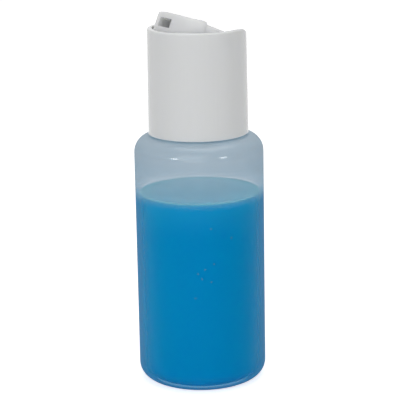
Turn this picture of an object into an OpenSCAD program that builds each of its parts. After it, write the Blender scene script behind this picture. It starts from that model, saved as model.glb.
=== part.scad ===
// Sample bottle: a blow-moulded cylindrical bottle with a screw neck, part filled with
// a clear blue liquid, closed by a moulded press-disc dispensing cap that stands open.
// Units are millimetres. +Z is up, the origin is the middle of the base, and the disc's
// nozzle points along the heading given below.

/* [Bottle] */
// Outside diameter of the body
body_d = 30; // [24:0.5:50]
// Height from the base to the flat of the shoulder
shoulder_h = 58.6; // [45:0.1:110]
// Outside radius of the rounded shoulder
shoulder_r = 4; // [2:0.1:5]
// Outside radius at the foot of the body
base_r = 3.6; // [2:0.1:5]
// Thickness of the blown wall
wall = 0.9; // [0.6:0.05:1.4]
// Rise of the pushed-up base in its middle
push_up = 0.8; // [0.3:0.1:1.5]
// Width of the flat ring that the bottle stands on
foot_w = 1.8; // [1:0.1:3]

/* [Neck] */
// Diameter over the crest of the neck thread
thread_d = 19.6; // [19:0.1:21]
// Depth of the neck thread
thread_depth = 1.1; // [0.7:0.05:1.2]
// Rise of the thread in one turn
pitch = 3.175; // [2.8:0.025:3.6]
// Turns of thread on the neck and in the cap
turns = 1.5; // [1:0.25:1.75]
// Height of the neck above the shoulder
neck_h = 14.4; // [13.5:0.1:17]
// Diameter of the mouth
bore_d = 14; // [11:0.1:15]

/* [Liquid] */
// Height of the liquid above the base
fill_h = 44.7; // [15:0.1:52]

/* [Seal] */
// Thickness of the foam washer under the cap's deck
seal_t = 1; // [0.6:0.1:1.6]
// Width of the foam washer's ring
seal_w = 2.6; // [2:0.1:3]

/* [Cap] */
// Outside diameter of the skirt at its lower edge
skirt_d = 23.2; // [22.6:0.1:25]
// Outside diameter of the cap at its rim
rim_d = 22.64; // [22.4:0.02:24]
// Height of the cap from skirt to rim
cap_h = 24.4; // [23.5:0.1:28]
// Thickness of the skirt at its lower edge
skirt_t = 1.5; // [1.3:0.05:1.9]
// Thickness of the deck over the neck
deck_t = 1.3; // [0.8:0.05:1.8]
// Thickness of the wall around the disc, at the rim
rim_t = 1.02; // [0.95:0.01:1.3]
// Rounding of the rim's outer edge
rim_round = 0.45; // [0.2:0.05:0.6]
// Gap between the skirt's lower edge and the shoulder
skirt_gap = 0.4; // [0.3:0.05:1.2]
// Width of the thumb notch across the rim
notch_w = 19; // [10:0.1:19.4]
// Depth of the thumb notch below the rim
notch_depth = 3; // [1:0.1:3.2]

/* [Disc] */
// Compass heading of the nozzle, counter-clockwise from +X
nozzle_heading = 214.5; // [0:0.5:360]
// Angle by which the disc stands open
open_angle = 23.4; // [12:0.1:24]
// Depth of the hinge pins' axis below the disc's top
pivot_depth = 2.9; // [2.8:0.05:3.6]
// Distance of the hinge pins' axis behind the cap's axis
pivot_back = 0.9; // [0.8:0.05:2]
// Radius of the hinge pins
pin_r = 1; // [0.7:0.05:1.2]
// Reach of each hinge pin into its socket
pin_reach = 0.5; // [0.3:0.05:0.55]
// Thickness of the disc's top plate
plate_t = 1.15; // [0.8:0.05:1.2]
// Thickness of the disc's side wall
disc_wall = 1.1; // [0.8:0.05:1.4]
// Depth of the side wall below the hinge pins' axis
disc_drop = 1.9; // [1:0.05:2]
// Rounding of the disc's top edge
disc_round = 0.3; // [0.2:0.05:0.5]
// Distance of the thumb area's front edge before the cap's axis
thumb_front = 4.8; // [2:0.1:6]
// Depth of the thumb area below the disc's front
thumb_depth = 0.7; // [0.3:0.05:0.75]
// Height of the wedge-shaped thumb stop
stop_h = 0.28; // [0.1:0.02:0.5]
// Length of the wedge-shaped thumb stop
stop_l = 2.4; // [2:0.1:3.6]

/* [Nozzle] */
// Width of the nozzle's mouth
mouth_w = 4.7; // [3:0.1:5]
// Height of the nozzle's mouth
mouth_h = 2.1; // [1.5:0.1:2.5]
// Depth of the mouth's upper edge below the disc's top
mouth_depth = 1.4; // [1.3:0.05:1.5]
// Thickness of the duct's walls
duct_t = 0.7; // [0.5:0.05:0.8]
// Radius of the valve drum about the hinge pins' axis
drum_r = 3.3; // [3.2:0.05:3.5]
// Length of the valve drum
drum_l = 8; // [6:0.1:10]
// Radius of the dosing hole through drum and deck
dose_r = 0.6; // [0.4:0.05:0.6]

/* [Hidden] */
$fn = 96;

// Fits, each used wherever the same two pieces meet
liquid_gap = 0.1;
seat_gap = 0.05;
thread_gap = 0.25;
disc_gap = 0.2;
pin_gap = 0.05;
drum_gap = 0.08;
// Overlap that makes a cut or a joined feature pass its neighbour's face
lap = 0.3;

// Bottle
body_r = body_d / 2;
neck_top = shoulder_h + neck_h;
thread_r = thread_d / 2;
neck_r = thread_r - thread_depth;
bore_r = bore_d / 2;
foot_in = body_r - base_r - foot_w;
dome_r = (foot_in * foot_in + push_up * push_up) / (2 * push_up);
bead_r = thread_r - thread_gap;
bead_h = 1.6;
bead_z = shoulder_h + 2.6;

// Threads: the ridge is a trapezium, wider at its root than at its crest
ridge_root = 0.55 * pitch;
ridge_crest = 0.24 * pitch;
ridge_steps = 40;
taper_part = 0.12;
neck_lead = 1.2;
neck_thread_z = neck_top - neck_lead - ridge_root / 2 - pitch * turns;

// Cap
skirt_z = shoulder_h + skirt_gap;
rim_z = skirt_z + cap_h;
skirt_r = skirt_d / 2;
rim_r = rim_d / 2;
skirt_in = skirt_r - skirt_t;
cap_thread_in = neck_r + thread_gap;
well_r = rim_r - rim_t;
seal_z = neck_top + seat_gap;
deck_z = seal_z + seal_t + seat_gap;
deck_top = deck_z + deck_t;
seal_out = skirt_in - thread_gap;
notch_r = (pow(notch_w / 2, 2) + notch_depth * notch_depth) / (2 * notch_depth);
cap_thread_turn = -1;

// Disc
disc_r = well_r - disc_gap;
disc_top = rim_z;
pivot_z = disc_top - pivot_depth;
pin_l = sqrt(well_r * well_r - pivot_back * pivot_back) + pin_reach;
ball_inset = 0.05;
swing_gap = 0.13;
swing_r = pivot_back + well_r - swing_gap;
duct_top = pivot_depth - mouth_depth;
duct_low = duct_top - mouth_h;
plate_low = pivot_depth - thumb_depth - plate_t;
saddle_top = pivot_z + duct_low - duct_t - lap;
saddle_w = drum_r + 1;
stop_back = 1.1;

// Points along an arc from angle a0 to a1, in n equal steps
function arc(cx, cy, r, a0, a1, n) =
    [for (i = [0:n]) [cx + r * cos(a0 + (a1 - a0) * i / n), cy + r * sin(a0 + (a1 - a0) * i / n)]];

// Half outline of the bottle, drawn inwards by the amount t
module body_half(t) {
    translate([0, t]) square([body_r - base_r, base_r]);
    translate([0, base_r]) square([body_r - t, shoulder_h - shoulder_r - base_r]);
    translate([0, shoulder_h - shoulder_r - t]) square([body_r - shoulder_r, shoulder_r]);
    translate([body_r - base_r, base_r]) circle(base_r - t);
    translate([body_r - shoulder_r, shoulder_h - shoulder_r]) circle(shoulder_r - t);
}

// Right-hand helical ridge. It reaches from the root radius r0 to the crest radius r1,
// its middle starts at z on +X, and it fades into the root over a part of a turn at each end.
module helix_ridge(r0, r1, z, first_turn) {
    n = round(ridge_steps * turns);
    grow = function (i) min(1, min(i, n - i) / (n * taper_part));
    crest = function (i) r0 + (r1 - r0) * grow(i);
    inner = r0 - sign(r1 - r0) * lap;
    ring = function (i) let (
        a = 360 * (first_turn + turns * i / n),
        h = z + pitch * (first_turn + turns * i / n),
        w = ridge_crest / 2 + (ridge_root - ridge_crest) / 2 * (1 - grow(i))
    ) [
        [inner * cos(a), inner * sin(a), h - ridge_root / 2],
        [crest(i) * cos(a), crest(i) * sin(a), h - w],
        [crest(i) * cos(a), crest(i) * sin(a), h + w],
        [inner * cos(a), inner * sin(a), h + ridge_root / 2]
    ];
    points = [for (i = [0:n]) each ring(i)];
    outward = r1 > r0;
    sides = [for (i = [0:n - 1], j = [0:3]) let (k = (j + 1) % 4)
        each (outward
            ? [[4 * i + j, 4 * i + k, 4 * i + 4 + k], [4 * i + j, 4 * i + 4 + k, 4 * i + 4 + j]]
            : [[4 * i + j, 4 * i + 4 + k, 4 * i + k], [4 * i + j, 4 * i + 4 + j, 4 * i + 4 + k]])];
    caps = outward
        ? [[3, 2, 1, 0], [4 * n, 4 * n + 1, 4 * n + 2, 4 * n + 3]]
        : [[0, 1, 2, 3], [4 * n + 3, 4 * n + 2, 4 * n + 1, 4 * n]];
    polyhedron(points, concat(sides, caps));
}

// Blown bottle: body, shoulder, neck with its thread and bead, and the pushed-up base
module bottle() {
    color([0.72, 0.79, 0.85, 0.6])
    difference() {
        union() {
            rotate_extrude() body_half(0);
            cylinder(h = neck_top, r = neck_r);
            translate([0, 0, bead_z]) cylinder(h = bead_h, r = bead_r);
            helix_ridge(neck_r, thread_r, neck_thread_z, 0);
        }
        difference() {
            rotate_extrude() body_half(wall);
            base_dome(wall);
        }
        translate([0, 0, shoulder_h - wall - lap]) cylinder(h = neck_h + wall + 2 * lap, r = bore_r);
        base_dome(0);
    }
}

// Ball whose top pushes the base up, grown by the thickness t
module base_dome(t) {
    translate([0, 0, push_up - dome_r]) sphere(dome_r + t, $fn = 192);
}

// Liquid that fills the bottle to its level
module liquid() {
    color([0.0, 0.45, 0.7])
    difference() {
        intersection() {
            rotate_extrude() body_half(wall + liquid_gap);
            cylinder(h = fill_h, r = body_r);
        }
        base_dome(wall + liquid_gap);
    }
}

// Foam washer between the mouth of the neck and the cap's deck
module seal_washer() {
    color("whitesmoke")
    translate([0, 0, seal_z])
    difference() {
        cylinder(h = seal_t, r = seal_out);
        translate([0, 0, -lap]) cylinder(h = seal_t + 2 * lap, r = seal_out - seal_w);
    }
}

// Frame of the disc's hinge: +X points to the nozzle, the origin is on the pins' axis
module at_pivot() {
    rotate([0, 0, nozzle_heading]) translate([-pivot_back, 0, pivot_z]) children();
}

// Moulded cap: skirt, deck with the valve's saddle, well for the disc, and thumb notch
module cap_shell() {
    color([0.93, 0.94, 0.94])
    difference() {
        union() {
            cap_wall();
            intersection() {
                at_pivot() saddle();
                translate([0, 0, deck_z]) cylinder(h = cap_h, r = well_r + lap);
            }
        }
        at_pivot() {
            rotate([90, 0, 0]) translate([0, 0, -drum_l])
                cylinder(h = 2 * drum_l, r = drum_r + drum_gap);
            translate([0, 0, deck_z - pivot_z - lap]) cylinder(h = pivot_z - deck_z, r = dose_r, $fn = 48);
            rotate([90, 0, 0]) translate([0, 0, -pin_l - disc_gap / 2])
                cylinder(h = 2 * pin_l + disc_gap, r = pin_r + pin_gap, $fn = 48);
        }
        rotate([0, 0, nozzle_heading]) translate([-body_r, 0, rim_z + notch_r - notch_depth])
            rotate([0, 90, 0]) cylinder(h = body_r, r = notch_r, $fn = 192);
    }
}

// Outer wall, skirt and deck of the cap, turned about its axis
module cap_wall() {
    difference() {
        rotate_extrude() cap_half();
        translate([0, 0, skirt_z - lap]) cylinder(h = deck_z - skirt_z + lap, r = skirt_in);
        translate([0, 0, deck_top]) cylinder(h = cap_h, r = well_r);
    }
    helix_ridge(skirt_in, cap_thread_in, neck_thread_z + pitch / 2, cap_thread_turn);
}

// Half outline of the cap, with its drafted side and rounded rim
module cap_half() {
    polygon(concat(
        [[0, skirt_z], [skirt_r, skirt_z]],
        arc(rim_r - rim_round, rim_z - rim_round, rim_round, 0, 90, 8),
        [[0, rim_z]]
    ));
}

// Block on the deck, hollowed to hold the disc's valve drum
module saddle() {
    translate([-saddle_w, -drum_l / 2, deck_top - pivot_z - lap])
        cube([2 * saddle_w, drum_l, saddle_top - deck_top + lap]);
}

// Press disc, standing open: plate, side wall, nozzle duct, valve drum and hinge pins
module press_disc() {
    color([0.93, 0.94, 0.94])
    at_pivot() rotate([0, -open_angle, 0]) {
        difference() {
            intersection() {
                union() {
                    disc_skin();
                    duct();
                    valve_drum();
                }
                sweep_room();
            }
            duct_room();
        }
        for (side = [-1, 1])
            rotate([90 * side, 0, 0]) translate([0, 0, disc_r - disc_wall - lap])
                cylinder(h = pin_l - disc_r + disc_wall + lap, r = pin_r, $fn = 48);
    }
}

// Room that the disc may fill: its front is straight above the pins and drawn in below them,
// and behind the thumb stop its side is a ball's, so that it stays inside the well as it tips
module sweep_room() {
    translate([pivot_back, 0, 0]) sphere(disc_r - ball_inset);
    intersection() {
        translate([pivot_back + thumb_front, -disc_r - lap, -disc_drop - lap])
            cube([disc_r, 2 * (disc_r + lap), cap_h]);
        union() {
            rotate([90, 0, 0]) translate([0, 0, -2 * disc_r]) cylinder(h = 4 * disc_r, r = swing_r);
            translate([0, -2 * disc_r, 0]) cube([2 * disc_r, 4 * disc_r, cap_h]);
        }
    }
}

// Plate and side wall of the disc, closed and seen from the pins' axis
module disc_skin() {
    difference() {
        translate([pivot_back, 0, 0]) rotate_extrude() polygon(concat(
            [[0, -disc_drop], [disc_r, -disc_drop]],
            arc(disc_r - disc_round, pivot_depth - disc_round, disc_round, 0, 90, 8),
            [[0, pivot_depth]]
        ));
        thumb_cut();
        deck_cut();
        translate([pivot_back, 0, -disc_drop - lap])
            cylinder(h = disc_drop + lap + plate_low, r = disc_r - disc_wall);
    }
    thumb_stop();
}

// Space that the deck and its gap take below the rear of the open disc
module deck_cut() {
    rotate([0, open_angle, 0]) translate([-body_r, -body_r, deck_top + disc_gap - pivot_z - cap_h])
        cube([body_r, body_d, cap_h]);
}

// Space removed above the lowered thumb area
module thumb_cut() {
    translate([pivot_back + thumb_front - 2 * disc_r, -disc_r, pivot_depth - thumb_depth])
        cube([2 * disc_r, 2 * disc_r, cap_h]);
}

// Wedge along the thumb area's front edge, which stops the thumb
module thumb_stop() {
    intersection() {
        translate([pivot_back, 0, 0]) cylinder(h = cap_h, r = disc_r - disc_round / 2);
        translate([pivot_back + thumb_front, disc_r, pivot_depth]) rotate([90, 0, 0])
            linear_extrude(2 * disc_r) polygon([
                [0, -thumb_depth], [0, stop_h / 2], [stop_back / 2, stop_h], [stop_back, stop_h],
                [stop_l, 0], [stop_l, -thumb_depth]
            ]);
    }
}

// Drum about the pins' axis that opens and shuts the dosing hole, cut off under the plate
module valve_drum() {
    intersection() {
        rotate([90, 0, 0]) translate([0, 0, -drum_l / 2]) cylinder(h = drum_l, r = drum_r);
        translate([-2 * drum_r, -drum_l, -2 * drum_r])
            cube([4 * drum_r, 2 * drum_l, 2 * drum_r + lap + plate_low]);
    }
}

// Walls of the duct between the mouth and the valve drum
module duct() {
    intersection() {
        translate([0, -mouth_w / 2 - duct_t, duct_low - duct_t])
            cube([pivot_back + disc_r, mouth_w + 2 * duct_t, plate_low - duct_low + duct_t + lap]);
        translate([pivot_back, 0, -cap_h]) cylinder(h = 2 * cap_h, r = disc_r - disc_wall / 2);
    }
}

// Hollow of the duct, open at the mouth, and the dosing hole in the valve drum
module duct_room() {
    translate([-dose_r, -mouth_w / 2, duct_low]) cube([2 * disc_r, mouth_w, mouth_h]);
    rotate([0, 180 + open_angle, 0]) cylinder(h = 2 * drum_r, r = dose_r, $fn = 48);
}

bottle();
liquid();
seal_washer();
cap_shell();
press_disc();
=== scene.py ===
"""Looks of a 30 ml sample bottle, part filled with a blue liquid, under an open press-disc cap.

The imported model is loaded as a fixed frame, and the surfaces that the eye meets are worked out
here as whole arrays. The sizes of the object and the camera's place are millimetres in this file
and become metres as they are used. The lamps and the floor are given in metres. The frame's own
directions hold: +Z is up, and -Y points to the camera.
"""

import logging
import math
from dataclasses import dataclass, field
from enum import Enum
from typing import Any, Sequence

import bmesh
import bpy
import numpy as np
from mathutils import Matrix, Vector


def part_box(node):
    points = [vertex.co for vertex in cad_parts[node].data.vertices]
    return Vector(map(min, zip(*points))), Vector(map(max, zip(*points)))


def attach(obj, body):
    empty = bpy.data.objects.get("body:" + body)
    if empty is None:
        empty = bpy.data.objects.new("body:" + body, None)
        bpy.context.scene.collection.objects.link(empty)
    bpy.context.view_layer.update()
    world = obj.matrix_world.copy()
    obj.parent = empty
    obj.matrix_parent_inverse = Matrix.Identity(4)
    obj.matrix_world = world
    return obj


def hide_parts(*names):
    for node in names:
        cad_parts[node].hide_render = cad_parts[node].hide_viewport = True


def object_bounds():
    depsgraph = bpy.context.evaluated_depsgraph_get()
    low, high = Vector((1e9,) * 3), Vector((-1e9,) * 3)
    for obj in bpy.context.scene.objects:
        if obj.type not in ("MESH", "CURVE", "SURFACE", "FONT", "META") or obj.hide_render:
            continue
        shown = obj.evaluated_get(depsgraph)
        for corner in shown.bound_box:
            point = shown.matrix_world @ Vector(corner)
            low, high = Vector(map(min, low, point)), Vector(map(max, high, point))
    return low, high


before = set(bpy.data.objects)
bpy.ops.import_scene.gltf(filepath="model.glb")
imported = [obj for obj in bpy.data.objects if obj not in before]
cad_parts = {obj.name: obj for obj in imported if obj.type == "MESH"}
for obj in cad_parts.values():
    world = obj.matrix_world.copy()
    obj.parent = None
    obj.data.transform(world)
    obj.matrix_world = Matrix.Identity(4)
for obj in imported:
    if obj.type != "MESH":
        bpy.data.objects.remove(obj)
cad_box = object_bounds()

log = logging.getLogger("sample_bottle")

MM = 0.001
SAME_ANGLE = 1e-6
SAME_LENGTH = 1e-6
SAME_PLACE = 1e-9
EVEN_BLEND = 0.5
WHITE = (1, 1, 1, 1)


class Body(Enum):
    """Bodies of the behaviour tree that the pieces ride on."""

    BOTTLE = "bottle"
    CAP = "cap"
    DISC = "disc"


class Slot(Enum):
    """Material slots of the record that the pieces take their finish from."""

    BOTTLE = "bottle_hdpe"
    LIQUID = "blue_liquid"
    CAP = "cap_pp"


def linear(code: str) -> tuple[float, float, float, float]:
    """Turns an sRGB hex colour into linear light.

    Each channel c in 0 to 1 becomes c / 12.92 below 0.04045, and ((c + 0.055) / 1.055) to the
    power 2.4 above it.

    Args:
        code: The colour as "#rrggbb".

    Returns:
        Red, green, blue and an alpha of 1.
    """
    channels = [int(code[i:i + 2], 16) / 255 for i in (1, 3, 5)]
    red, green, blue = (c / 12.92 if c <= 0.04045 else ((c + 0.055) / 1.055) ** 2.4 for c in channels)
    return red, green, blue, 1.0


def add_node(
    tree: bpy.types.NodeTree,
    kind: str,
    inputs: dict[str | int, Any] | None = None,
    **settings: Any,
) -> bpy.types.Node:
    """Adds a node with its settings, its socket values and its links.

    Args:
        tree: The node tree that takes the node.
        kind: The node's type, without the words ShaderNode in front.
        inputs: For each input socket, by name or number, a value or the output socket to link.
        **settings: The node's own properties.

    Returns:
        The new node.
    """
    node = tree.nodes.new("ShaderNode" + kind)
    for name, value in settings.items():
        setattr(node, name, value)
    for name, value in (inputs or {}).items():
        if isinstance(value, bpy.types.NodeSocket):
            tree.links.new(value, node.inputs[name])
        else:
            node.inputs[name].default_value = value
    return node


def new_material(name: str) -> tuple[bpy.types.Material, bpy.types.NodeTree]:
    """Makes an empty node material.

    Args:
        name: The material's name.

    Returns:
        The material and its empty node tree.
    """
    material = bpy.data.materials.new(name)
    material.use_nodes = True
    material.node_tree.nodes.clear()
    return material, material.node_tree


def filleted(corners: Sequence[tuple[float, float, float]], degrees: float = 9.0) -> np.ndarray:
    """Draws a profile through corners and rounds each one with an arc.

    At a corner with directions a and b to its neighbours and the angle w between them, the arc
    of radius q touches both sides at the distance q / tan(w / 2), and its middle lies on the
    bisector at the distance q / sin(w / 2).

    Args:
        corners: Radius, height and rounding of each corner, in millimetres.
        degrees: Largest turn from one point of an arc to the next.

    Returns:
        An array of points, radius and height, in millimetres.
    """
    points = np.array([c[:2] for c in corners], float)
    out = [points[:1]]
    for before, here, after, corner in zip(points, points[1:], points[2:], corners[1:]):
        a, b = before - here, after - here
        a, b = a / np.linalg.norm(a), b / np.linalg.norm(b)
        between = math.acos(float(np.clip(a @ b, -1, 1)))
        if corner[2] <= 0 or math.pi - between < SAME_ANGLE:
            out.append(here[None])
            continue
        middle = here + (a + b) / np.linalg.norm(a + b) * corner[2] / math.sin(between / 2)
        reach = corner[2] / math.tan(between / 2)
        first, last = here + a * reach - middle, here + b * reach - middle
        start = math.atan2(first[1], first[0])
        turn = math.remainder(math.atan2(last[1], last[0]) - start, 2 * math.pi)
        angles = start + turn * np.linspace(0, 1, 2 + math.ceil(abs(math.degrees(turn)) / degrees))
        out.append(middle + corner[2] * np.column_stack([np.cos(angles), np.sin(angles)]))
    out.append(points[-1:])
    return np.vstack(out)


def refined(profile: np.ndarray, spacing: float) -> np.ndarray:
    """Adds points to a profile, so that no stretch of it is longer than the spacing.

    Args:
        profile: Points along the profile, in millimetres.
        spacing: Largest distance from one point to the next.

    Returns:
        The profile with the points added, evenly along each stretch.
    """
    lengths = np.linalg.norm(np.diff(profile, axis=0), axis=1)
    parts = np.maximum(1, np.ceil(lengths / spacing).astype(int))
    steps = np.concatenate([i + np.arange(n) / n for i, n in enumerate(parts)] + [[len(profile) - 1]])
    index = np.arange(len(profile))
    return np.column_stack([np.interp(steps, index, profile[:, k]) for k in (0, 1)])


def turned(profile: np.ndarray, headings: np.ndarray) -> np.ndarray:
    """Turns a profile about the Z axis.

    The point with radius r and height z at the heading a is (r cos a, r sin a, z).

    Args:
        profile: Radius and height of each point, in millimetres.
        headings: Headings of the columns, in radians.

    Returns:
        A grid of points, one row for each point of the profile and one column for each heading.
    """
    radius, height = profile[:, 0, None], profile[:, 1, None]
    return np.stack([radius * np.cos(headings), radius * np.sin(headings), height + 0 * headings], axis=2)


def smoothstep(low: float, high: float, x: np.ndarray) -> np.ndarray:
    """Rises smoothly from 0 at low to 1 at high, as 3 t squared minus 2 t cubed."""
    t = np.clip((x - low) / (high - low), 0, 1)
    return t * t * (3 - 2 * t)


def grid_object(
    name: str,
    grid: np.ndarray,
    materials: Sequence[bpy.types.Material],
    second_from: int | None = None,
    closed_rows: bool = False,
    sharp_degrees: float = 38.0,
) -> bpy.types.Object:
    """Makes a mesh object from a grid of points whose columns close into rings.

    Each face joins two neighbouring rows and two neighbouring columns, so that it looks to the
    right of the profile's run. A row whose points all lie in one place becomes a single pole.

    Args:
        name: The object's name.
        grid: Points in millimetres, rows by columns by three.
        materials: The materials of the object.
        second_from: Row from which on the faces take the second material.
        closed_rows: Whether the last row joins the first one.
        sharp_degrees: Edges that turn by more than this stay sharp.

    Returns:
        The object, at the origin.
    """
    rows, columns = grid.shape[:2]
    index = np.arange(rows * columns).reshape(rows, columns)
    for row in (0, rows - 1):
        if not closed_rows and np.ptp(grid[row], axis=0).max() < SAME_PLACE:
            index[row] = index[row, 0]
    used, flat = np.unique(index, return_inverse=True)
    index = flat.reshape(rows, columns)
    points = grid.reshape(-1, 3)[used] * MM
    lower = index if closed_rows else index[:-1]
    upper = np.roll(index, -1, axis=0) if closed_rows else index[1:]
    quads = np.stack([lower, np.roll(lower, -1, 1), np.roll(upper, -1, 1), upper], axis=2).reshape(-1, 4)
    faces = [list(dict.fromkeys(face)) for face in quads.tolist()]
    mesh = bpy.data.meshes.new(name)
    mesh.from_pydata(points.tolist(), [], faces)
    mesh.polygons.foreach_set("use_smooth", np.ones(len(mesh.polygons), bool))
    mesh.set_sharp_from_angle(angle=math.radians(sharp_degrees))
    for material in materials:
        mesh.materials.append(material)
    if second_from is not None:
        slots = np.repeat(np.arange(len(lower)) >= second_from, columns).astype(np.int32)
        mesh.polygons.foreach_set("material_index", slots)
    mesh.validate()
    piece = bpy.data.objects.new(name, mesh)
    bpy.context.scene.collection.objects.link(piece)
    return piece


@dataclass(frozen=True)
class NaturalPolyethylene:
    """High-density polyethylene without pigment, extrusion blow moulded.

    The eye sees a milky, satin wall. Where it is dry it hides more than half of what is behind
    it, and for a little way above the liquid its milk is painted bluer, as painted light for the
    liquid's blue light in the wall. Where the liquid wets its uneven inner face it clears, so that
    only its edges, where the way through the wall is long, stay hazy, and the milk there is painted
    in the liquid's blue, as painted light from the liquid behind it. A few small scuffs on the
    front, each at a distance across and a height, look paler.
    """

    dry_milk: str = "#dcdfe3"
    # Painted light: towards the liquid the dry milk turns this bluer colour, for the liquid's blue light in
    # the wall.
    painted_light_milk: str = "#88bad5"
    # Painted light: the haze of the wet wall takes this blue, for the liquid's light scattered in it.
    wet_haze_painted_blue: str = "#3cb4de"
    through_share: float = 0.6
    # Height above the liquid over which that painted blue light fades out.
    painted_light_span_mm: float = 16.0
    dry_cover: float = 0.78
    damp_cover: float = 0.42
    damp_mm: float = 8.0
    wet_cover: float = 0.0
    dry_edge_cover: float = 0.45
    wet_edge_cover: float = 3.4
    base_cover: float = 0.7
    base_mm: float = 4.5
    wet_band_mm: float = 1.4
    edge_power: float = 3.4
    dry_shine: float = 0.06
    wet_shine: float = 0.0
    edge_shine: float = 0.12
    edge_shine_power: float = 3.0
    roughness: float = 0.16
    wave_mm: float = 9.0
    wave_height_mm: float = 0.05
    wave_detail: float = 2.0
    scuff_milk: str = "#9ce4ff"
    scuff_cover: float = 0.6
    scuff_mm: float = 0.45
    scuffs: tuple[tuple[float, float], ...] = (
        (2.4, 39.6), (7.0, 37.0), (3.0, 31.3), (0.9, 30.1),
        (-0.7, 29.1), (0.2, 27.9), (2.3, 27.1), (-1.4, 23.3),
    )

    def scuffing(
        self, tree: bpy.types.NodeTree, place: bpy.types.NodeSocket, body_r: float,
    ) -> bpy.types.NodeSocket:
        """Adds the few small scuffs on the front of the wall.

        A scuff at the distance x across lies on the wall at y = -sqrt(r squared - x squared) for
        the body's radius r. Its cover falls smoothly from its middle to its rim.

        Args:
            tree: The node tree that takes the scuffs.
            place: The point's place on the object.
            body_r: Radius of the body, in millimetres.

        Returns:
            The cover that the scuffs add.
        """
        total: Any = 0.0
        for across, height in self.scuffs:
            spot = (across * MM, -math.sqrt(body_r ** 2 - across ** 2) * MM, height * MM)
            away = add_node(tree, "VectorMath", {0: place, 1: spot}, operation="DISTANCE").outputs["Value"]
            mark = add_node(
                tree, "MapRange",
                {
                    "Value": away,
                    "From Min": self.scuff_mm * MM,
                    "From Max": 0.0,
                    "To Max": self.scuff_cover,
                },
                interpolation_type="SMOOTHSTEP",
            ).outputs["Result"]
            total = add_node(tree, "Math", {0: mark, 1: total}, operation="ADD").outputs[0]
        return total

    def material(self, name: str, level: float, body_r: float, share: float = 1.0) -> bpy.types.Material:
        """Builds the material of one face of the wall.

        Args:
            name: The material's name.
            level: Height of the liquid, in millimetres.
            body_r: Radius of the body, in millimetres.
            share: Share of the wall's milk and shine that this face shows.

        Returns:
            The material.
        """
        material, tree = new_material(name)
        place = add_node(tree, "TexCoord").outputs["Object"]
        height = add_node(tree, "SeparateXYZ", {0: place}).outputs["Z"]
        wet = add_node(
            tree, "MapRange",
            {
                "Value": height,
                "From Min": (level + self.wet_band_mm) * MM,
                "From Max": (level - self.wet_band_mm) * MM,
            },
            interpolation_type="SMOOTHSTEP",
        ).outputs["Result"]
        facing = add_node(tree, "LayerWeight", {"Blend": EVEN_BLEND}).outputs["Facing"]
        edge = add_node(tree, "Math", {0: facing, 1: self.edge_power}, operation="POWER").outputs[0]
        dry_flat = add_node(
            tree, "MapRange",
            {
                "Value": height,
                "From Min": level * MM,
                "From Max": (level + self.damp_mm) * MM,
                "To Min": self.damp_cover * share,
                "To Max": self.dry_cover * share,
            },
        ).outputs["Result"]
        flat = add_node(
            tree, "MapRange", {"Value": wet, "To Min": dry_flat, "To Max": self.wet_cover * share},
        ).outputs["Result"]
        rim = add_node(
            tree, "MapRange",
            {"Value": wet, "To Min": self.dry_edge_cover * share, "To Max": self.wet_edge_cover * share},
        ).outputs["Result"]
        base = add_node(
            tree, "MapRange",
            {
                "Value": height,
                "From Min": self.base_mm * MM,
                "From Max": 0.0,
                "To Max": self.base_cover * share,
            },
        ).outputs["Result"]
        wall_cover = add_node(tree, "Math", {0: edge, 1: rim, 2: flat}, operation="MULTIPLY_ADD").outputs[0]
        scuffs = self.scuffing(tree, place, body_r)
        marked = add_node(tree, "Math", {0: base, 1: scuffs}, operation="ADD").outputs[0]
        cover = add_node(
            tree, "Math", {0: wall_cover, 1: marked}, operation="ADD", use_clamp=True,
        ).outputs[0]
        # Painted light: towards the liquid the dry milk is painted bluer, for the blue light from the
        # liquid in the wall.
        blue_light_paint = add_node(
            tree, "MapRange",
            {"Value": height, "From Min": (level + self.painted_light_span_mm) * MM, "From Max": level * MM},
        ).outputs["Result"]
        dry = add_node(
            tree, "Mix", {0: blue_light_paint, 6: linear(self.dry_milk), 7: linear(self.painted_light_milk)}, data_type="RGBA",
        ).outputs[2]
        # Painted light: where wet, the hazy edges are painted in the liquid's blue, for the light from the
        # liquid behind the wall. The haze itself is real.
        plain_milk = add_node(
            tree, "Mix", {0: wet, 6: dry, 7: linear(self.wet_haze_painted_blue)}, data_type="RGBA",
        ).outputs[2]
        milk = add_node(
            tree, "Mix", {0: scuffs, 6: plain_milk, 7: linear(self.scuff_milk)}, data_type="RGBA",
        ).outputs[2]
        waves = add_node(
            tree, "TexNoise",
            {"Vector": place, "Scale": 1 / (self.wave_mm * MM), "Detail": self.wave_detail},
        ).outputs[0]
        bump = add_node(tree, "Bump", {"Height": waves, "Distance": self.wave_height_mm * MM}).outputs[0]
        front = add_node(tree, "BsdfDiffuse", {"Color": milk, "Normal": bump}).outputs[0]
        through = add_node(tree, "BsdfTranslucent", {"Color": milk}).outputs[0]
        haze = add_node(tree, "MixShader", {0: self.through_share, 1: front, 2: through}).outputs[0]
        clear = add_node(tree, "BsdfTransparent").outputs[0]
        wall = add_node(tree, "MixShader", {0: cover, 1: clear, 2: haze}).outputs[0]
        gloss = add_node(tree, "BsdfGlossy", {"Roughness": self.roughness, "Normal": bump}).outputs[0]
        steep = add_node(
            tree, "Math", {0: facing, 1: self.edge_shine_power}, operation="POWER",
        ).outputs[0]
        plain = add_node(
            tree, "MapRange",
            {"Value": wet, "To Min": self.dry_shine * share, "To Max": self.wet_shine * share},
        ).outputs["Result"]
        mirror = add_node(
            tree, "Math", {0: steep, 1: self.edge_shine * share, 2: plain}, operation="MULTIPLY_ADD",
        ).outputs[0]
        skin = add_node(tree, "MixShader", {0: mirror, 1: wall, 2: gloss}).outputs[0]
        add_node(tree, "OutputMaterial", {"Surface": skin})
        return material


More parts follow.
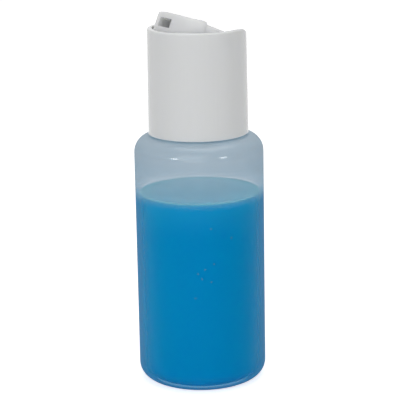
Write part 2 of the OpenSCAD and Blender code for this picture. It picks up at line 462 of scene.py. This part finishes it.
@dataclass(frozen=True)
class DyedWater:
    """Water with a blue dye, poured in.

    The eye sees one deep, even blue, because the dye takes all the red out of the light within a
    few millimetres. Near its surface it is painted a little lighter, as painted light for the light
    that comes in from above, and its open surface is painted a lighter blue still, as painted light
    for the light that reaches it through the shoulder.
    """

    deep: str = "#0099cf"
    # Painted light: this lighter blue near the surface stands in for the light that comes in from above.
    painted_light_blue: str = "#18a2d2"
    # Painted light: the open surface takes this brighter blue, for the light that reaches it through the
    # shoulder.
    painted_light_surface_blue: str = "#5ee2f8"
    wall_shine: float = 0.05
    wall_roughness: float = 0.4
    open_shine: float = 0.6
    open_roughness: float = 0.12
    ior: float = 1.33
    glow_mm: float = 7.0
    glow_spread: tuple[float, float, float] = (0.2, 1.0, 1.0)
    # Depth below the surface over which the painted light fades.
    painted_light_depth_mm: float = 9.0

    def material(self, name: str, level: float, is_open: bool) -> bpy.types.Material:
        """Builds the liquid's material, for its open surface or for where it wets the wall.

        Against the wall hardly any light is mirrored, because plastic and water bend it alike.

        Args:
            name: The material's name.
            level: Height of the liquid, in millimetres.
            is_open: Whether this is the open surface.

        Returns:
            The material.
        """
        material, tree = new_material(name)
        place = add_node(tree, "TexCoord").outputs["Object"]
        height = add_node(tree, "SeparateXYZ", {0: place}).outputs["Z"]
        near = add_node(
            tree, "MapRange",
            {"Value": height, "From Min": (level - self.painted_light_depth_mm) * MM, "From Max": level * MM},
            interpolation_type="SMOOTHSTEP",
        ).outputs["Result"]
        # Painted light: towards the top the blue is painted lighter, for the light from above.
        top = linear(self.painted_light_surface_blue if is_open else self.painted_light_blue)
        colour = add_node(
            tree, "Mix", {0: near, 6: linear(self.deep), 7: top}, data_type="RGBA",
        ).outputs[2]
        water = add_node(tree, "BsdfPrincipled", {
            "Base Color": colour,
            "Roughness": self.open_roughness if is_open else self.wall_roughness,
            "Specular IOR Level": self.open_shine if is_open else self.wall_shine,
            "IOR": self.ior,
            "Subsurface Weight": 1.0,
            "Subsurface Radius": self.glow_spread,
            "Subsurface Scale": self.glow_mm * MM,
        }).outputs[0]
        add_node(tree, "OutputMaterial", {"Surface": water})
        return material


@dataclass(frozen=True)
class WhitePolypropylene:
    """White polypropylene, injection moulded in a polished tool.

    The eye sees a clean, slightly cool white with a soft gloss, a faint orange-peel in the
    highlights, and light that sinks a little way into the edges.
    """

    white: str = "#e6e7e7"
    roughness: float = 0.24
    shine: float = 0.4
    glow: float = 0.5
    glow_mm: float = 0.9
    glow_spread: tuple[float, float, float] = (1.0, 1.0, 0.9)
    peel_mm: float = 1.6
    peel_height_mm: float = 0.008
    peel_detail: float = 2.0

    def material(self, name: str) -> bpy.types.Material:
        """Builds the moulded plastic's material.

        Args:
            name: The material's name.

        Returns:
            The material.
        """
        material, tree = new_material(name)
        place = add_node(tree, "TexCoord").outputs["Object"]
        peel = add_node(
            tree, "TexNoise",
            {"Vector": place, "Scale": 1 / (self.peel_mm * MM), "Detail": self.peel_detail},
        ).outputs[0]
        bump = add_node(
            tree, "Bump", {"Height": peel, "Distance": self.peel_height_mm * MM},
        ).outputs[0]
        plastic = add_node(tree, "BsdfPrincipled", {
            "Base Color": linear(self.white),
            "Roughness": self.roughness,
            "Specular IOR Level": self.shine,
            "Subsurface Weight": self.glow,
            "Subsurface Radius": self.glow_spread,
            "Subsurface Scale": self.glow_mm * MM,
            "Normal": bump,
        }).outputs[0]
        add_node(tree, "OutputMaterial", {"Surface": plastic})
        return material


@dataclass(frozen=True)
class WasherFoam:
    """Closed-cell polyethylene foam, die cut from sheet.

    The eye sees a matt off-white with fine open cells along the cut edge, whose hollows are painted darker
    as painted shade.
    """

    white: str = "#eceae4"
    # Painted shade for the hollows of the cells.
    cell_painted_shade: str = "#cfcdc6"
    cell_mm: float = 0.3
    cell_depth_mm: float = 0.05
    roughness: float = 0.85
    ior: float = 1.5

    def material(self, name: str) -> bpy.types.Material:
        """Builds the foam's material.

        Args:
            name: The material's name.

        Returns:
            The material.
        """
        material, tree = new_material(name)
        place = add_node(tree, "TexCoord").outputs["Object"]
        cells = add_node(
            tree, "TexVoronoi", {"Vector": place, "Scale": 1 / (self.cell_mm * MM)},
        ).outputs["Distance"]
        # Painted shade: the colour darkens towards the bottom of each cell's hollow.
        colour = add_node(
            tree, "Mix", {0: cells, 6: linear(self.cell_painted_shade), 7: linear(self.white)}, data_type="RGBA",
        ).outputs[2]
        bump = add_node(
            tree, "Bump", {"Height": cells, "Distance": self.cell_depth_mm * MM},
        ).outputs[0]
        foam = add_node(tree, "BsdfPrincipled", {
            "Base Color": colour, "Roughness": self.roughness, "IOR": self.ior, "Normal": bump,
        }).outputs[0]
        add_node(tree, "OutputMaterial", {"Surface": foam})
        return material


@dataclass
class BlownBottle:
    """The blown bottle: body, shoulder, screw neck with bead and thread, and pushed-up base."""

    body_r: float
    neck_top: float
    liquid_level: float
    shoulder_h: float = 58.6
    shoulder_r: float = 4.0
    base_r: float = 3.6
    foot_w: float = 1.8
    push_up: float = 0.8
    wall: float = 0.9
    thread_r: float = 9.8
    thread_depth: float = 1.1
    pitch: float = 3.175
    turns: float = 1.5
    bore_r: float = 7.0
    bead_r: float = 9.55
    bead_z: float = 61.2
    bead_h: float = 1.6
    neck_root_r: float = 0.35
    bead_root_r: float = 0.25
    bead_edge_r: float = 0.3
    lip_outer_r: float = 0.35
    lip_inner_r: float = 0.3
    bore_root_r: float = 0.5
    above_bead: float = 1.0
    below_lip: float = 0.6
    thread_below_top: float = 1.2
    root_share: float = 0.55
    crest_share: float = 0.24
    fade_share: float = 0.12
    outer_spacing: float = 6.0
    thread_spacing: float = 0.09
    inner_spacing: float = 9.0
    outer_dome_points: int = 14
    inner_dome_points: int = 10
    columns: int = 240
    inner_share: float = 0.15
    finish: NaturalPolyethylene = field(default_factory=NaturalPolyethylene)

    def outline(self) -> np.ndarray:
        """Draws the closed wall, from the middle of the base outside to its middle inside.

        Returns:
            Radius and height of each point, in millimetres.
        """
        neck_r = self.thread_r - self.thread_depth
        foot_in = self.body_r - self.base_r - self.foot_w
        dome_r = (foot_in ** 2 + self.push_up ** 2) / (2 * self.push_up)
        outside_r = np.linspace(0, foot_in, self.outer_dome_points)
        outside_z = self.push_up - dome_r + np.sqrt(dome_r ** 2 - outside_r ** 2)
        outside = np.column_stack([outside_r, outside_z])
        inner_low = math.sqrt((dome_r + self.wall) ** 2 - (dome_r + self.wall - self.push_up) ** 2)
        inside_r = np.linspace(inner_low, 0, self.inner_dome_points)
        inside_z = self.push_up - dome_r + np.sqrt((dome_r + self.wall) ** 2 - inside_r ** 2)
        inside = np.column_stack([inside_r, inside_z])
        bead_top = self.bead_z + self.bead_h
        thread_top = self.neck_top - self.below_lip
        below = refined(filleted([
            (foot_in, 0, 0),
            (self.body_r, 0, self.base_r),
            (self.body_r, self.shoulder_h, self.shoulder_r),
            (neck_r, self.shoulder_h, self.neck_root_r),
            (neck_r, self.bead_z, self.bead_root_r),
            (self.bead_r, self.bead_z, self.bead_edge_r),
            (self.bead_r, bead_top, self.bead_edge_r),
            (neck_r, bead_top, self.bead_root_r),
            (neck_r, bead_top + self.above_bead, 0),
        ]), self.outer_spacing)
        thread = refined(np.array([below[-1], [neck_r, thread_top]]), self.thread_spacing)
        above = refined(filleted([
            (neck_r, thread_top, 0),
            (neck_r, self.neck_top, self.lip_outer_r),
            (self.bore_r, self.neck_top, self.lip_inner_r),
            (self.bore_r, self.shoulder_h - self.wall, self.bore_root_r),
            (self.body_r - self.wall, self.shoulder_h - self.wall, self.shoulder_r - self.wall),
            (self.body_r - self.wall, self.wall, self.base_r - self.wall),
            (inner_low, self.wall, 0),
        ]), self.inner_spacing)
        return np.vstack([outside, below[1:], thread[1:], above[1:], inside[1:]])

    def thread_height(self, radius: np.ndarray, height: np.ndarray, heading: np.ndarray) -> np.ndarray:
        """Works out how far the thread stands proud of the neck.

        The ridge's middle rises by one pitch a turn. Across it the ridge is flat on its crest
        and falls along smooth flanks to its root, and it fades over the fade share of its run at
        each end. On every other surface the result is 0.

        Args:
            radius: Radius of each point, in millimetres.
            height: Height of each point.
            heading: Heading of each point, in radians.

        Returns:
            The height of the thread at each point, in millimetres.
        """
        neck_r = self.thread_r - self.thread_depth
        root, crest = self.root_share * self.pitch, self.crest_share * self.pitch
        low = self.neck_top - self.thread_below_top - root / 2 - self.pitch * self.turns
        faded = self.fade_share * self.turns
        out = np.zeros(np.broadcast(radius, heading).shape)
        for whole in range(math.ceil(self.turns)):
            turn = whole + heading / (2 * np.pi)
            away = np.abs(height - low - self.pitch * turn)
            flank = 1 - smoothstep(crest / 2, root / 2, away)
            fade = smoothstep(0, faded, turn) * (1 - smoothstep(self.turns - faded, self.turns, turn))
            out = np.maximum(out, self.thread_depth * flank * fade)
        return np.where(np.abs(radius - neck_r) < SAME_LENGTH, out, 0)

    def build(self) -> bpy.types.Object:
        """Builds the bottle and puts it in the place of its solid.

        Returns:
            The bottle's object.
        """
        headings = np.linspace(0, 2 * np.pi, self.columns, endpoint=False)
        profile = self.outline()
        radius = profile[:, 0, None] + 0 * headings
        height = profile[:, 1, None] + 0 * headings
        radius = radius + self.thread_height(radius, height, headings[None] + 0 * radius)
        grid = np.stack([radius * np.cos(headings), radius * np.sin(headings), height], axis=2)
        in_bore = profile[:, 0] < self.bore_r + SAME_LENGTH
        mouth = int(np.argmax(profile[:, 1] + in_bore * self.neck_top))
        outer = self.finish.material("natural_polyethylene", self.liquid_level, self.body_r)
        inner = self.finish.material(
            "natural_polyethylene_inner_face", self.liquid_level, self.body_r, self.inner_share,
        )
        piece = grid_object("blown_bottle", grid, [outer, inner], second_from=mouth)
        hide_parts("bottle")
        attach(piece, Body.BOTTLE.value)
        return piece


@dataclass
class BlueFill:
    """The liquid in the bottle, with its level surface and the meniscus along the wall."""

    level: float
    wall_r: float = 14.0
    floor_z: float = 1.0
    corner_r: float = 2.6
    dome_top: float = 1.8
    dome_r: float = 59.0
    meniscus_h: float = 0.3
    meniscus_w: float = 1.2
    meniscus_decay: float = 3.0
    meniscus_points: int = 24
    surface_from: float = 6.0
    surface_points: int = 8
    dome_points: int = 12
    side_spacing: float = 6.0
    columns: int = 192
    finish: DyedWater = field(default_factory=DyedWater)

    def outline(self) -> np.ndarray:
        """Draws the liquid from the middle of the base to the middle of its surface.

        The surface climbs towards the wall by the meniscus' height times e to the power of
        minus the distance from the wall over a third of the meniscus' width.

        Returns:
            Radius and height of each point, in millimetres.
        """
        dome_edge = math.sqrt(self.dome_r ** 2 - (self.dome_r - self.dome_top + self.floor_z) ** 2)
        dome_at = np.linspace(0, dome_edge, self.dome_points)
        dome_z = self.dome_top - self.dome_r + np.sqrt(self.dome_r ** 2 - dome_at ** 2)
        dome = np.column_stack([dome_at, dome_z])
        side = refined(filleted([
            (dome_edge, self.floor_z, 0),
            (self.wall_r, self.floor_z, self.corner_r),
            (self.wall_r, self.level + self.meniscus_h, 0),
        ]), self.side_spacing)
        near = np.linspace(0, self.meniscus_decay * self.meniscus_w, self.meniscus_points)
        far = np.linspace(self.surface_from, self.wall_r, self.surface_points)
        at = self.wall_r - np.concatenate([near, far])
        rise = self.meniscus_h * np.exp(-(self.wall_r - at) * self.meniscus_decay / self.meniscus_w)
        top = np.column_stack([at, self.level + rise])
        return np.vstack([dome, side[1:], top[1:]])

    def build(self) -> bpy.types.Object:
        """Builds the liquid and puts it in the place of its solid.

        Returns:
            The liquid's object.
        """
        headings = np.linspace(0, 2 * np.pi, self.columns, endpoint=False)
        profile = self.outline()
        against_wall = self.finish.material("dyed_water", self.level, is_open=False)
        open_surface = self.finish.material("dyed_water_surface", self.level, is_open=True)
        piece = grid_object(
            "blue_fill", turned(profile, headings), [against_wall, open_surface],
            second_from=int(np.argmax(profile[:, 1])),
        )
        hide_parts("liquid")
        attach(piece, Body.BOTTLE.value)
        return piece


@dataclass
class MouldedPart:
    """An injection-moulded part: a copy of its solid, whose sharp edges get a mould's rounding."""

    node: str
    name: str
    body: Body
    finish: bpy.types.Material
    rounding: float = 0.15
    wide_rounding: float = 0.15
    wide_above: float = 1000.0
    wide_beyond: float = 0.0
    sharp_degrees: float = 28.0
    merge: float = 0.001
    flat_degrees: float = 0.3
    segments: int = 3
    face_weight: int = 80

    def weights(self, shape: bmesh.types.BMesh) -> None:
        """Marks how strongly each sharp edge is rounded, as a share of the wider rounding.

        An edge gets the wide rounding if both its ends lie above the height wide_above and further
        from the Z axis than wide_beyond. Other sharp edges get the plain one.

        Args:
            shape: The part's merged faces, in metres.
        """
        layer = shape.edges.layers.float.new("bevel_weight_edge")
        sharp = math.radians(self.sharp_degrees)
        for edge in shape.edges:
            if edge.calc_face_angle(0) < sharp:
                continue
            ends = [end.co for end in edge.verts]
            far = min(math.hypot(end.x, end.y) for end in ends) > self.wide_beyond * MM
            high = min(end.z for end in ends) > self.wide_above * MM
            edge[layer] = 1.0 if far and high else self.rounding / self.wide_rounding

    def build(self) -> bpy.types.Object:
        """Builds the part and puts it in the place of its solid.

        The triangles are joined along their shared edges, and those in one plane become one face,
        so that the rounding runs along whole edges.

        Returns:
            The part's object.
        """
        shape = bmesh.new()
        shape.from_mesh(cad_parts[self.node].data)
        bmesh.ops.remove_doubles(shape, verts=shape.verts, dist=self.merge * MM)
        bmesh.ops.dissolve_limit(
            shape, angle_limit=math.radians(self.flat_degrees), verts=shape.verts, edges=shape.edges,
        )
        self.weights(shape)
        mesh = bpy.data.meshes.new(self.name)
        shape.to_mesh(mesh)
        shape.free()
        mesh.materials.clear()
        mesh.materials.append(self.finish)
        mesh.polygons.foreach_set("material_index", np.zeros(len(mesh.polygons), np.int32))
        mesh.polygons.foreach_set("use_smooth", np.ones(len(mesh.polygons), bool))
        piece = bpy.data.objects.new(self.name, mesh)
        bpy.context.scene.collection.objects.link(piece)
        rounded = piece.modifiers.new("rounded_edges", "BEVEL")
        rounded.limit_method = "WEIGHT"
        rounded.width = self.wide_rounding * MM
        rounded.segments = self.segments
        rounded.miter_outer = "MITER_ARC"
        shading = piece.modifiers.new("flat_faces", "WEIGHTED_NORMAL")
        shading.keep_sharp = True
        shading.weight = self.face_weight
        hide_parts(self.node)
        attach(piece, self.body.value)
        return piece


@dataclass(frozen=True)
class SoftBox:
    """A soft rectangular lamp that looks at the middle of the object."""

    name: str
    place: tuple[float, float, float]
    width: float
    height: float
    watts: float
    colour: str = "#ffffff"

    def build(self, target: Vector) -> bpy.types.Object:
        """Builds the lamp.

        Args:
            target: The point that the lamp looks at, in metres.

        Returns:
            The lamp's object.
        """
        light = bpy.data.lights.new(self.name, "AREA")
        light.shape = "RECTANGLE"
        light.size = self.width
        light.size_y = self.height
        light.energy = self.watts
        light.color = linear(self.colour)[:3]
        lamp = bpy.data.objects.new(self.name, light)
        lamp.location = self.place
        lamp.rotation_euler = (target - Vector(self.place)).to_track_quat("-Z", "Y").to_euler()
        bpy.context.scene.collection.objects.link(lamp)
        return lamp


@dataclass
class Studio:
    """Camera, lamps, white surroundings and the pale floor."""

    camera_place: tuple[float, float, float] = (0.0514, -366.656, 134.907)
    pitch_degrees: float = 14.12
    roll_degrees: float = -1.06
    focal_px: float = 1616.2
    image_px: int = 400
    sensor_mm: float = 36.0
    world_strength: float = 0.33
    clip_start: float = 0.01
    floor_size: float = 6.0
    floor_colour: str = "#e8e8e8"
    floor_glow: float = 0.7
    lamps: tuple[SoftBox, ...] = (
        SoftBox("left_box", (-0.4, -0.4, 0.22), 0.12, 0.05, 0.28),
        SoftBox("right_box", (0.38, -0.4, 0.24), 0.12, 0.05, 0.28),
        SoftBox("front_box", (-0.15, -0.6, 0.3), 0.55, 0.55, 1.1, "#fbfdff"),
        SoftBox("top_box", (0.05, 0.1, 0.7), 0.6, 0.6, 1.6),
    )

    def camera(self) -> bpy.types.Object:
        """Builds the camera at the photograph's viewing angle.

        It looks along the camera's forward direction (0, cos p, -sin p) for the pitch p, and its
        image is turned by the roll. The lens is the focal length in pixels times the sensor's
        width over the image's width.

        Returns:
            The camera's object.
        """
        data = bpy.data.cameras.new("camera")
        data.sensor_width = self.sensor_mm
        data.lens = self.focal_px * self.sensor_mm / self.image_px
        data.clip_start = self.clip_start
        pitch, roll = math.radians(self.pitch_degrees), math.radians(self.roll_degrees)
        across = Vector((1, 0, 0))
        upward = Vector((0, math.sin(pitch), math.cos(pitch)))
        right = math.cos(roll) * across + math.sin(roll) * upward
        up = -math.sin(roll) * across + math.cos(roll) * upward
        turn = Matrix((right, up, right.cross(up))).transposed()
        camera = bpy.data.objects.new("camera", data)
        camera.matrix_world = Matrix.Translation(Vector(self.camera_place) * MM) @ turn.to_4x4()
        bpy.context.scene.collection.objects.link(camera)
        bpy.context.scene.camera = camera
        return camera

    def white_seen(self, tree: bpy.types.NodeTree) -> bpy.types.NodeSocket:
        """Adds the test for a ray that sees the surroundings rather than being lit by them.

        Args:
            tree: The node tree that takes the test.

        Returns:
            A socket that is 1 for camera, glossy and transmission rays.
        """
        path = add_node(tree, "LightPath").outputs
        seen = add_node(
            tree, "Math", {0: path["Is Camera Ray"], 1: path["Is Glossy Ray"]}, operation="MAXIMUM",
        ).outputs[0]
        return add_node(
            tree, "Math", {0: seen, 1: path["Is Transmission Ray"]}, operation="MAXIMUM",
        ).outputs[0]

    def world(self) -> None:
        """Makes surroundings that look white and give a plain, even light."""
        world = bpy.data.worlds.new("white_surroundings")
        world.use_nodes = True
        tree = world.node_tree
        tree.nodes.clear()
        seen = self.white_seen(tree)
        strength = add_node(
            tree, "MapRange", {"Value": seen, "To Min": self.world_strength, "To Max": 1.0},
        ).outputs["Result"]
        light = add_node(tree, "Background", {"Color": WHITE, "Strength": strength}).outputs[0]
        add_node(tree, "OutputWorld", {"Surface": light})
        bpy.context.scene.world = world

    def floor(self) -> bpy.types.Object:
        """Makes the pale floor, which keeps the object's shadow.

        Returns:
            The floor's object.
        """
        material, tree = new_material("pale_floor")
        matt = add_node(tree, "BsdfDiffuse", {"Color": linear(self.floor_colour)}).outputs[0]
        glow = add_node(tree, "Emission", {"Color": WHITE, "Strength": self.floor_glow}).outputs[0]
        lifted = add_node(tree, "AddShader", {0: matt, 1: glow}).outputs[0]
        seen = self.white_seen(tree)
        shown = add_node(tree, "MixShader", {0: seen, 1: matt, 2: lifted}).outputs[0]
        add_node(tree, "OutputMaterial", {"Surface": shown})
        half = self.floor_size / 2
        mesh = bpy.data.meshes.new("floor")
        corners = [(-half, -half, 0), (half, -half, 0), (half, half, 0), (-half, half, 0)]
        mesh.from_pydata(corners, [], [(0, 1, 2, 3)])
        mesh.materials.append(material)
        floor = bpy.data.objects.new("floor", mesh)
        bpy.context.scene.collection.objects.link(floor)
        return floor

    def build(self) -> None:
        """Builds the camera, the surroundings, the floor and the lamps."""
        self.camera()
        self.world()
        self.floor()
        middle = Vector([(low + high) / 2 for low, high in zip(*cad_box)])
        for lamp in self.lamps:
            lamp.build(middle)
        bpy.context.scene.view_settings.view_transform = "Standard"


def dress(node: str, material: bpy.types.Material) -> None:
    """Gives a CAD node its finish.

    Args:
        node: The node's name.
        material: The material that all its faces take.
    """
    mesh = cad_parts[node].data
    mesh.materials.clear()
    mesh.materials.append(material)


def main() -> None:
    """Builds the studio and every piece, and reports each one."""
    logging.basicConfig(level=logging.INFO, format="%(message)s")
    Studio().build()
    bottle_box, liquid_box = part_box("bottle"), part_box("liquid")
    level = liquid_box[1].z / MM
    plastic = WhitePolypropylene().material("white_polypropylene")
    thin_plastic = WhitePolypropylene(glow=0.9, glow_mm=2.5).material("white_polypropylene_thin_wall")
    dress("seal_washer", WasherFoam().material("polyethylene_foam"))
    pieces = [
        BlownBottle(body_r=bottle_box[1].x / MM, neck_top=bottle_box[1].z / MM, liquid_level=level).build(),
        BlueFill(level=level).build(),
        MouldedPart(
            "cap_shell", "moulded_cap", Body.CAP, plastic, rounding=0.12, wide_rounding=0.35,
            wide_above=79, wide_beyond=10.9,
        ).build(),
        MouldedPart("press_disc", "moulded_disc", Body.DISC, thin_plastic).build(),
    ]
    for piece in pieces:
        log.info("%s: %d faces", piece.name, len(piece.data.polygons))


if __name__ == "__main__":
    main()
